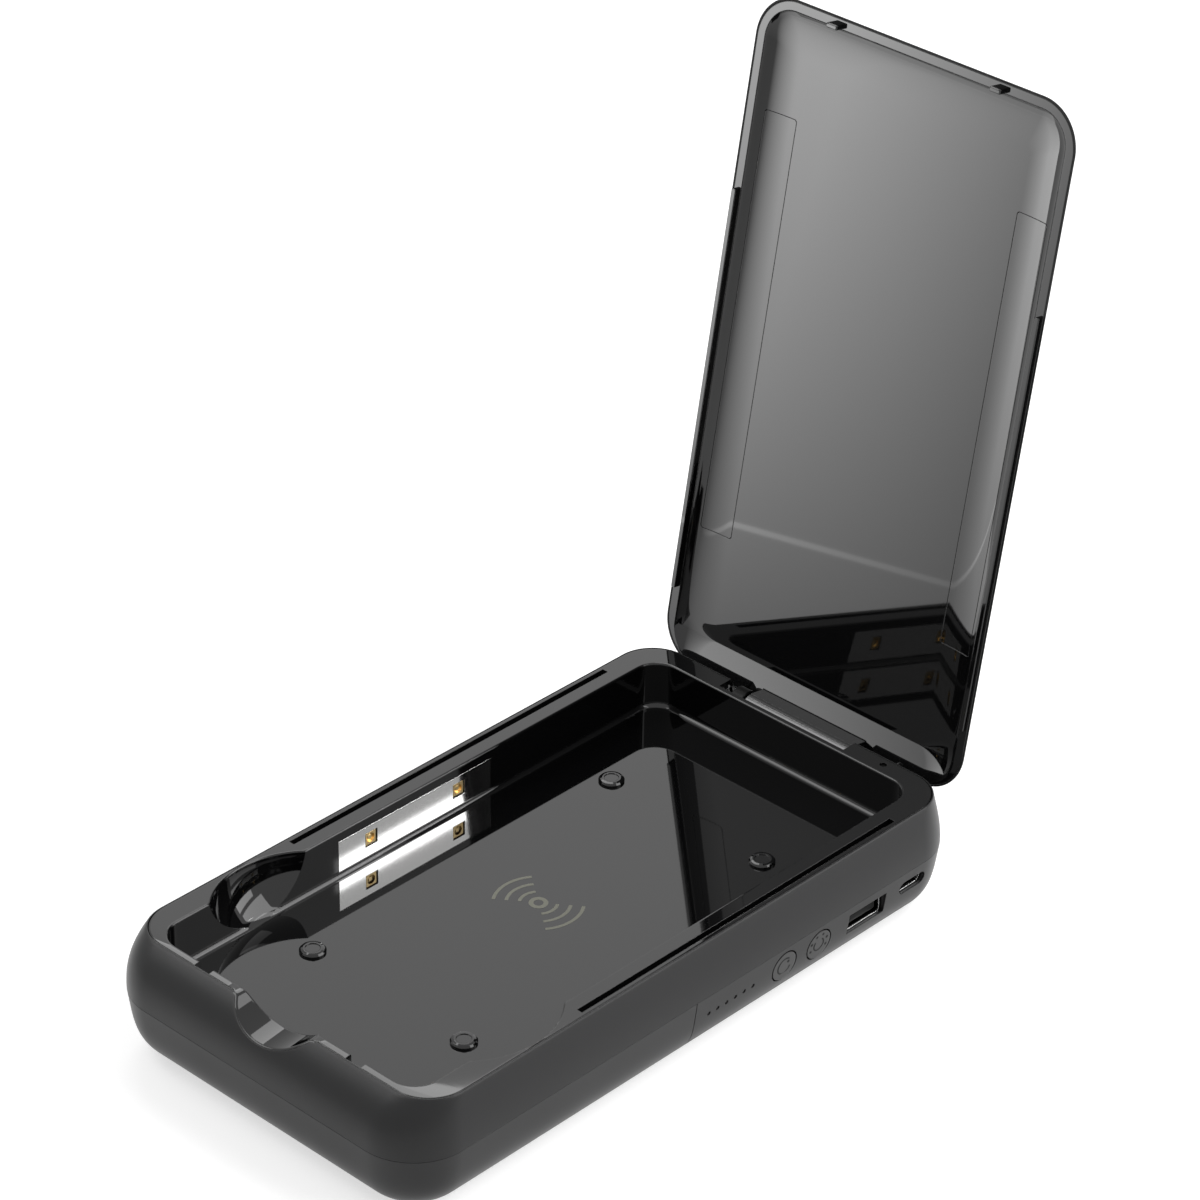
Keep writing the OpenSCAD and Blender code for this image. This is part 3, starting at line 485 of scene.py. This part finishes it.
# Tray: one glossy black insert. Its rim lies in the upper case, its long walls have a bowl-shaped
# scoop each for the fingers, and its liner covers the notch in the front shoulder. Its rim has a long
# groove at each side and two latch slots, and its walls have seats for the mirror strips.
flange_x = 51.5
flange_front = -89.9
flange_back = 93.65
flange_r = 11.0
flange_h = 2.4
band_lean = 0.21
band_width = 2.2
liner_half = 14.3
tray_x = 44.4
tray_front = notch_y
tray_back = 87.7
tray_r = 6.9
tray_wall = 1.6
floor_z = 18.95
edge_r = 0.5
foot_r = 1.5
scoop_x, scoop_y, scoop_z, scoop_r = 26.7, -54.5, 35.15, 24.0
groove_x, groove_y, groove_depth = (48.55, 50.35), (-38.6, 73.8), 1.8
seat_x, seat_y, seat_z = (43, 44.8), (-27.5, 25.9), (20.25, 29.45)
window_x, window_z, window_half = (43, 47), (23.25, 27.45), 2.1
window_middles = (-16.2, 14.6)
latch_x, latch_y, latch_half, latch_depth = 26, (-89.6, -86.7), 2.6, 2.9
peg_x, peg_y, peg_hole = 31.6, 91.2, 0.95
above_rim = 40
gloss_black = plastic("gloss black plastic", (0.0024, 0.0024, 0.0026), 0.03, 2.5, 0.0004, edge=0.2, sheen=0.5)

scoop_steps = np.linspace(-1, 1, 57)
before_steps = np.linspace(0, 1, 12)[:-1]
after_steps = np.linspace(0, 1, 66)[1:]


def wall_y(z):
    """y of the long wall's samples at height z: even outside the scoop, and inside it in step with its
    edge, whose half length is the root of the sphere's radius squared less its two other legs squared."""
    half = np.sqrt(np.maximum(scoop_r ** 2 - (tray_x - scoop_x) ** 2 - (z - scoop_z) ** 2, 0.25))
    first, last = scoop_y - half, scoop_y + half
    return np.concatenate([-straight_y + (first + straight_y) * before_steps, scoop_y + half * scoop_steps,
                           last + (straight_y - last) * after_steps])


def tray_row(z, outward=0.0):
    """A loop of the tray's inner wall at height z, moved outward. On the long walls x is the wall's, or the
    scoop's sphere where that lies further out."""
    samples = loop(edge_x, wall_y(z), end_x)
    x, y = place(samples, tray_x + outward, tray_front - outward, tray_back + outward, tray_r + outward)
    on_side = ~np.isnan(samples[5])
    reach = scoop_r ** 2 - (y - scoop_y) ** 2 - (z - scoop_z) ** 2
    bowl = scoop_x + np.sqrt(np.maximum(reach, 0)) + outward
    x = np.where(on_side & (reach > 0), samples[2] * np.maximum(bowl, np.abs(x)), x)
    return samples, x, y


def notch_top(samples, y, radius=notch_r):
    """Height of the rim along a loop: level, and down along the notch on the front."""
    along = np.nan_to_num(samples[4], nan=100.0)
    return np.where(at_notch(samples, notch_half), notch_height(along, y, radius), rim_z)


def wall_loop(z, outward=0.0):
    """A loop of the tray's wall at height z, or at the notch's edge where that is lower."""
    samples, x, y = tray_row(z, outward)
    return x, y, np.minimum(z, notch_top(samples, y) - edge_r)


def rim_loop(outward, drop):
    """A loop just outside the tray's inner edge, drop below the rim."""
    samples, x, y = tray_row(rim_z, outward)
    return x, y, notch_top(samples, y) - drop


def flange_loop(inward, drop, under=False):
    """A loop at the rim's outer edge, which follows the case's front shoulder at the notch. Beside it, the
    front band leans forward by a fixed amount over its width."""
    samples, _, _ = tray_row(rim_z)
    x, y = place(samples, flange_x - inward, flange_front + inward, flange_back - inward, flange_r - inward)
    beside_notch = np.clip((np.abs(x) - 15) / 2, 0, 1)
    lean = band_lean * (1 - inward / band_width) * np.clip(-samples[1], 0, 1) ** 2 * beside_notch
    on_liner = at_notch(samples, liner_half)
    edge_y = y
    for _ in range(12):
        top = notch_top(samples, edge_y)
        z = top - drop - lean
        if under:
            z = np.where(on_liner, np.minimum(notch_top(samples, edge_y, notch_r + liner), top - 0.25), z)
        edge_y = np.where(on_liner, base_outline(z)[1] + inward, y)
    return x, edge_y, z


def under_loop(outward, z):
    """A loop of the tray's outer wall below the rim."""
    samples, x, y = tray_row(z, outward)
    return x, y, np.minimum(z, notch_top(samples, y) - tray_wall)


quarter = np.radians(np.linspace(0, 90, 7))
tray_rows = [under_loop(-3.0, floor_z - tray_wall), under_loop(tray_wall, floor_z - tray_wall)]
tray_rows += [under_loop(tray_wall, z) for z in np.linspace(floor_z, rim_z - flange_h, 8)]
tray_rows += [flange_loop(0.0, flange_h, under=True), flange_loop(0.0, 0.25)]
tray_rows += [flange_loop(0.06, 0.08), flange_loop(0.2, 0.0), flange_loop(0.5, 0.0)]
tray_rows += [rim_loop(edge_r + 0.15, 0.0)]
tray_rows += [rim_loop(edge_r * (1 - np.sin(a)), edge_r * (1 - np.cos(a))) for a in quarter]
tray_rows += [wall_loop(z) for z in np.linspace(rim_z - edge_r, floor_z + foot_r, 46)[1:]]
for a in np.radians(np.linspace(0, 90, 9))[1:]:
    tray_rows.append(wall_loop(floor_z + foot_r * (1 - np.sin(a)), -foot_r * (1 - np.cos(a))))
tray_rows.append(wall_loop(floor_z, -foot_r - 0.15))
tray = lofted("tray_insert", stack(tray_rows), gloss_black)


def side_box(side, across, along, heights):
    """A block to cut with at the left (-1) or the right (1), from its spans in x, y and z."""
    near, far = sorted((side * across[0], side * across[1]))
    return box_cutter((near, along[0], heights[0]), (far, along[1], heights[1]))


carve(tray, box_cutter(recess_low, recess_high))
for side in (-1, 1):
    carve(tray, side_box(side, groove_x, groove_y, (rim_z - groove_depth, above_rim)))
    carve(tray, side_box(side, seat_x, seat_y, seat_z))
    for y in window_middles:
        carve(tray, side_box(side, window_x, (y - window_half, y + window_half), window_z))
    latch_span = (latch_x - latch_half, latch_x + latch_half)
    carve(tray, side_box(side, latch_span, latch_y, (rim_z - latch_depth, above_rim)))
carve(tray, rod_cutter((peg_x, peg_y, 28), "Z", 10, peg_hole, 32))
finished(tray, "base", "gloss_black", "tray")

# Sign for wireless charging: matt khaki ink printed on the tray's floor above the coil, a ring with
# three arcs on each side of it.
sign_middle = (-1.35, -0.4)
ring_radius, ring_width = 1.85, 1.2
arc_radii, arc_width = (4.75, 8.05, 11.3), 0.9
sign_spread = 37
print_h = 0.03


def printed_line(centre, radius, width, first, last, onto, steps=49):
    """A thin printed arc: radius and width in the plane (u, v) about the centre, from the first to the last
    angle in degrees, or a whole ring. It stands a hair proud, and onto(u, v, height) turns that into x, y
    and z."""
    whole = last - first >= 360
    turn = np.radians(np.linspace(first, last, steps)[:steps - 1 if whole else steps, None])
    reach = radius + width / 2 * np.array([-1, -1, 1, 1])
    u, v = centre[0] + np.cos(turn) * reach, centre[1] + np.sin(turn) * reach
    height = print_h * np.array([-1, 1, 1, -1]) + 0 * turn
    return lofted("printed_line", np.stack(onto(u, v, height), axis=-1), closed=whole)


def gathered(name, pieces, material):
    """One piece from several."""
    whole = bmesh.new()
    for piece in pieces:
        whole.from_mesh(piece.data)
        bpy.data.objects.remove(piece)
    mesh = bpy.data.meshes.new(name)
    whole.to_mesh(mesh)
    whole.free()
    mesh.materials.append(material)
    joined = bpy.data.objects.new(name, mesh)
    bpy.context.scene.collection.objects.link(joined)
    return joined


def on_floor(u, v, height):
    """Printed flat on the tray's floor."""
    return u, v, floor_z + height


ink = plastic("khaki ink", (0.17, 0.17, 0.14), 0.6, 0.15, 0.002, edge=0.02, sheen=0.3)
sign = [printed_line(sign_middle, ring_radius, ring_width, 0, 360, on_floor)]
for radius in arc_radii:
    for middle in (0, 180):
        first, last = middle - sign_spread, middle + sign_spread
        sign.append(printed_line(sign_middle, radius, arc_width, first, last, on_floor))
finished(gathered("charging_sign", sign, ink), "base", "gloss_black")

# Lid shell: the matte black moulded outside of the lid. Like all of the lid it is worked out on the
# closed box and swung up by 100 degrees about the hinge, to where the part's lid rests.
lid_x = 51.15
lid_front = -91.25
lid_back = 93.1
lid_r = 12.0
lid_shrink = 0.6
lid_least_r = 2.0
lid_z = 32.45
lid_h = 8.0
shell_wall = 1.3
lid_turn = (Matrix.Translation((0, hinge_y * MM, hinge_z * MM)) @ Matrix.Rotation(np.radians(-100), 4, "X")
            @ Matrix.Translation((0, -hinge_y * MM, -hinge_z * MM)))
lid_end_x = end_x[abs(end_x) < 29]
lid_side_y = side_y[(side_y > -69) & (side_y < 71)]
lid_loop = loop(lid_end_x, lid_side_y, lid_end_x, 28)


def lid_outline(inward):
    """A loop of the lid's outline moved inward; its corner radius shrinks by a fixed share of that."""
    radius = max(lid_r - inward * lid_shrink, lid_least_r)
    return place(lid_loop, lid_x - inward, lid_front + inward, lid_back - inward, radius)


def lid_row(u, wall=0.0):
    """A loop of the lid's outside at the share u of its height: it goes in by 6.8 u + 7.2 u^4."""
    return (*lid_outline(6.8 * u + 7.2 * u ** 4 + wall), lid_z + lid_h * u)


def on_lid(piece, slot, *replaced, angle=32):
    """Swings a piece up with the lid and finishes it."""
    piece.data.transform(lid_turn)
    finished(piece, "lid", slot, *replaced, angle=angle)


shell_rows = [(*lid_outline(20), lid_z + lid_h - 1.8)]
shell_rows += [lid_row(u, shell_wall) for u in (0.7, 0.4, 0.15)]
shell_rows += [(*lid_outline(1.5), lid_z + 1.2), lid_row(0, 0.5), lid_row(0, 0.15), lid_row(0.01, 0.03)]
shell_rows += [lid_row(u) for u in np.linspace(0.025, 1, 48)]
on_lid(lofted("lid_outer_shell", stack(shell_rows), matte_black), "case_matte", "lid_shell", angle=20)

# Hinge barrel and arm: satin black mouldings of the lid. The barrel turns on the pin, and the arm joins
# it to the shell.
barrel_left, barrel_right, barrel_r, barrel_edge = -15.9, 19.5, 3.1, 0.25
arm_front = 89.85
satin_black = plastic("satin black plastic", (0.008, 0.008, 0.0085), 0.22, 0.3, 0.002, sheen=1.0)
barrel_turn = np.arange(96) * 2 * np.pi / 96
barrel_steps = ((barrel_left, barrel_r - barrel_edge), (barrel_left + barrel_edge, barrel_r),
                (barrel_right - barrel_edge, barrel_r), (barrel_right, barrel_r - barrel_edge))
barrel = [(x, hinge_y + r * np.cos(barrel_turn), hinge_z + r * np.sin(barrel_turn)) for x, r in barrel_steps]
on_lid(lofted("lid_barrel", stack(barrel), satin_black), "case_matte")
arm_y = np.array([arm_front, lid_back, lid_back, arm_front])
arm_z = np.array([hinge_z, hinge_z, lid_z + 2, lid_z + 2])
arm = stack([(barrel_left, arm_y, arm_z), (barrel_right, arm_y, arm_z)])
on_lid(lofted("lid_hinge_arm", arm, satin_black), "case_matte")

# Lid's inner panel: a glossy black dished moulding that closes the shell. Two long cover strips of the
# same plastic lie flush in it, and only their thin seams show.
pan_depth = 2.5
pan_cove = 11.5
lid_rim = 3.05
hinge_rim = 0.95
hinge_cove = 7.6
lid_seam = 0.12
cover_middle = (40.625, -2.65)
cover_half = (4.875, 57.65)
cover_corner = (0.475, 0.5)


def pan_row(v, further=0.0):
    """A loop of the pan's dish at the share v of its depth: in section a quarter of an ellipse, but along
    the hinge a nearly straight cove that starts nearer the edge and meets the flat in a crisp line."""
    inward = lid_rim + pan_cove * (1 - np.sqrt(1 - v * v)) + further
    at_hinge = hinge_rim + hinge_cove * v ** (1 / 0.9) + further
    radius = max(lid_r - lid_rim - (inward - lid_rim) * lid_shrink, lid_least_r)
    x, y = place(lid_loop, lid_x - inward, lid_front + inward, lid_back - at_hinge, radius)
    return x, y, lid_z + pan_depth * v


panel_edge = ((0.85, 0.0), (0.62, 0.08), (1.42, 1.1), (2.82, 2.2), (9, 3.6), (12, 3.7))
panel_rows = [pan_row(1.0, 0.2)] + [pan_row(v) for v in np.sin(np.linspace(np.pi / 2, 0, 26))]
panel_rows += [(*lid_outline(inward), lid_z + rise) for inward, rise in panel_edge]
lid_panel = lofted("lid_dished_panel", stack(panel_rows), gloss_black)


def cover_room(side, grow):
    """The upright space of one cover strip, grown by a seam's width: a rectangle with its corners cut."""
    sign_x = np.array([1, 1, 1, -1, -1, -1, -1, 1])
    sign_y = np.array([-1, 1, 1, 1, 1, -1, -1, -1])
    at_end = np.array([0, 0, 1, 1, 0, 0, 1, 1])
    x = side * cover_middle[0] + sign_x * (cover_half[0] - cover_corner[0] * at_end + grow)
    y = cover_middle[1] + sign_y * (cover_half[1] - cover_corner[1] * (1 - at_end) + grow)
    return lofted("cutter", stack([(x, y, lid_z - 1), (x, y, lid_z + lid_h)]))


arm_low = (barrel_left - lid_seam, arm_front - lid_seam, lid_z - 1)
glossy_pieces = [lid_panel]
for side, name in ((-1, "left"), (1, "right")):
    cover = lofted(f"lid_cover_strip_{name}", stack(panel_rows), gloss_black)
    carve(cover, cover_room(side, 0.0), "INTERSECT")
    carve(lid_panel, cover_room(side, lid_seam))
    on_lid(cover, "gloss_black", f"lid_cover_{name}", angle=9)
    glossy_pieces.append(cover)
carve(lid_panel, box_cutter(arm_low, (barrel_right + lid_seam, 98, lid_z + 4)))
on_lid(lid_panel, "gloss_black", "lid_inner_panel", angle=9)


# Tongues, hooks and peg: small bars moulded on the lid's inner panel. The tongues go into the tray's
# grooves, the hooks into its latch slots, and the peg presses the interlock's plunger.
def rounded_bar(name, low, high, radius, edge=0.15):
    """A small upright bar with round corners and eased upper and lower edges."""
    middle, half = (np.array(low) + high) / 2, (np.array(high) - low) / 2
    ends = loop(np.zeros(1), np.zeros(1), np.zeros(1), 5)
    rows = []
    for inward, z in ((edge, low[2]), (0, low[2] + edge), (0, high[2] - edge), (edge, high[2])):
        x, y = place(ends, half[0] - inward, inward - half[1], half[1] - inward, radius - inward)
        rows.append((x + middle[0], y + middle[1], z))
    bar = lofted(name, stack(rows), gloss_black)
    on_lid(bar, "gloss_black")
    glossy_pieces.append(bar)


tongue_half = (groove_x[1] - groove_x[0]) / 2 - 0.2
tongue_y = (groove_y[0] + 0.4, groove_y[1] - 0.4)
hook_half = 1.75
hook_y = (-89.3, -88.0)
peg_half = 0.6
for side, name in ((-1, "left"), (1, "right")):
    x = side * (groove_x[0] + groove_x[1]) / 2
    rounded_bar(f"lid_tongue_{name}", (x - tongue_half, tongue_y[0], lid_z - 1.4),
                (x + tongue_half, tongue_y[1], lid_z + 0.3), 0.3)
    x = side * latch_x
    rounded_bar(f"lid_hook_{name}", (x - hook_half, hook_y[0], lid_z - 2.2),
                (x + hook_half, hook_y[1], lid_z + 0.4), 0.35, 0.3)
rounded_bar("lid_peg", (peg_x - peg_half, peg_y - peg_half, 31.9),
            (peg_x + peg_half, peg_y + peg_half, lid_z + 0.9), 0.59, 0.1)
mirroring = bpy.data.collections.new("glossy lid pieces")
for piece in glossy_pieces:
    mirroring.objects.link(piece)
for lamp in light_panels:
    lamp.light_linking.receiver_collection = mirroring


# Mirror strips and lamps: thin polished metal sheets in seats of the tray's long walls. The lamps are
# gold-plated packages on white boards, and show through the sheets' windows.
def metal(name, colour, roughness):
    """A bare or plated metal with a fine uneven polish."""
    material = plastic(name, colour, roughness, 0.8, 0.0005, edge=0.1)
    material.node_tree.nodes["Principled BSDF"].inputs["Metallic"].default_value = 1.0
    return material


def dress(material, *names):
    """Gives CAD nodes a material."""
    for name in names:
        nodes[name].data.materials.clear()
        nodes[name].data.materials.append(material)


gold_plate = metal("gold plate", (0.90, 0.68, 0.34), 0.3)
white_board = plastic("white board", (0.78, 0.78, 0.75), 0.35, 0.5, 0.004)
dress(metal("mirror sheet", (0.93, 0.93, 0.92), 0.03), "uv_reflector_left", "uv_reflector_right")
dress(gold_plate, "uv_led_left", "uv_led_right")
dress(white_board, "uv_board_left", "uv_board_right")

# Sockets: stamped steel shells round black moulded tongues, the large one with gold-plated contacts.
# Little light gets into them, so their steel is drawn darker from the mouth inwards.
mouth_x, dark_x = 51.9, 51.2
steel_colour = (0.86, 0.86, 0.84)
socket_steel = metal("socket steel", steel_colour, 0.16)
steel_tree = socket_steel.node_tree
steel_place = steel_tree.nodes.new("ShaderNodeTexCoord")
steel_depth = steel_tree.nodes.new("ShaderNodeSeparateXYZ")
steel_tree.links.new(steel_place.outputs["Object"], steel_depth.inputs[0])
steel_dark = steel_tree.nodes.new("ShaderNodeMapRange")
steel_dark.inputs["From Min"].default_value = dark_x * MM
steel_dark.inputs["From Max"].default_value = mouth_x * MM
steel_dark.inputs["To Min"].default_value = 0.03
steel_dark.inputs["To Max"].default_value = 0.9
steel_tree.links.new(steel_depth.outputs["X"], steel_dark.inputs["Value"])
steel_tree.links.new(steel_dark.outputs["Result"], steel_tree.nodes["Principled BSDF"].inputs["Base Color"])
# The tongues and the interlock's plunger sit deep in sockets and a hole. Their black moulding is drawn darker
# and less shiny than the other black mouldings, as painted shade.
shaded_black = plastic("shaded black", (0.002, 0.002, 0.002), 0.4, 0.4, 0.002, sheen=0.12)
dress(socket_steel, "usb_a_shell", "usb_c_shell")
dress(shaded_black, "usb_a_tongue", "usb_c_tongue")
dress(gold_plate, "usb_a_contacts")

# Buttons: round caps of matte black plastic in the control panel's two large holes. Each has a fine dark
# sign: an open ring with a dot, and an open ring in a circle of eight dots.
button_plastic = plastic("button plastic", (0.014, 0.014, 0.0145), 0.34, 0.22, 0.004, edge=0.35, sheen=0.42)
engraved = plastic("dark engraving", (0.002, 0.002, 0.002), 0.4, 0.2, 0.001, edge=0.02, sheen=0.1)
dot_r, dot_width, dot_steps = 0.21, 0.4, 13
dots_r = 3.0
dress(button_plastic, "power_button", "uv_button")


def on_side(u, v, height):
    """On the right side's surface, which follows the case's outline at height v."""
    return base_outline(v)[0] + 0.02 + height, u, v


power_mark = [printed_line((button_y[0], row_z), 2.3, 0.42, 50, 340, on_side),
              printed_line((button_y[0] + 1.3, row_z + 0.9), dot_r, dot_width, 0, 360, on_side, dot_steps)]
uv_mark = [printed_line((button_y[1], row_z), 1.75, 0.4, 140, 415, on_side)]
for angle in np.radians(np.arange(8) * 45 + 22):
    dot = (button_y[1] + dots_r * np.cos(angle), row_z + dots_r * np.sin(angle))
    uv_mark.append(printed_line(dot, dot_r, dot_width, 0, 360, on_side, dot_steps))
finished(gathered("power_button_mark", power_mark, engraved), "power_button", "button_matte")
finished(gathered("uv_button_mark", uv_mark, engraved), "uv_button", "button_matte")

# Small outer pieces: light pipes of smoked plastic, glossy rests for the phone, the interlock's plunger,
# the steel hinge pin, the case's screws and the rubber feet that cover them.
nickel = metal("nickel", steel_colour, 0.16)
dress(plastic("smoked lens", (0.004, 0.004, 0.004), 0.12, 0.5, 0.002, sheen=0.3), "light_pipes")
dress(gloss_black, "phone_rests")
# The plunger in its hole gets the same darker black, as painted shade.
dress(shaded_black, "interlock_plunger")
dress(nickel, "hinge_pin", "case_screws")
dress(plastic("foot rubber", (0.018, 0.018, 0.018), 0.75, 0.3, 0.01), "rubber_feet")

# Inside the base: the coil on its ferrite sheet, foil-wrapped cells, the green board with its screws,
# switches and leads, and the small lamps behind the light pipes.
dress(metal("copper wire", (0.80, 0.42, 0.26), 0.35), "charge_coil")
dress(plastic("ferrite", (0.05, 0.05, 0.055), 0.6, 0.2, 0.01), "coil_shield")
dress(metal("cell foil", (0.70, 0.71, 0.73), 0.3), "battery_cells")
dress(plastic("green board", (0.02, 0.13, 0.06), 0.3, 0.5, 0.004), "main_board")
dress(nickel, "board_screws")
moulding = plastic("black moulding", (0.012, 0.012, 0.012), 0.35, 0.4, 0.004)
dress(moulding, "button_switches", "interlock_switch")
dress(plastic("red insulation", (0.35, 0.03, 0.03), 0.45, 0.5, 0.004), "inner_leads")
dress(white_board, "indicator_leds")
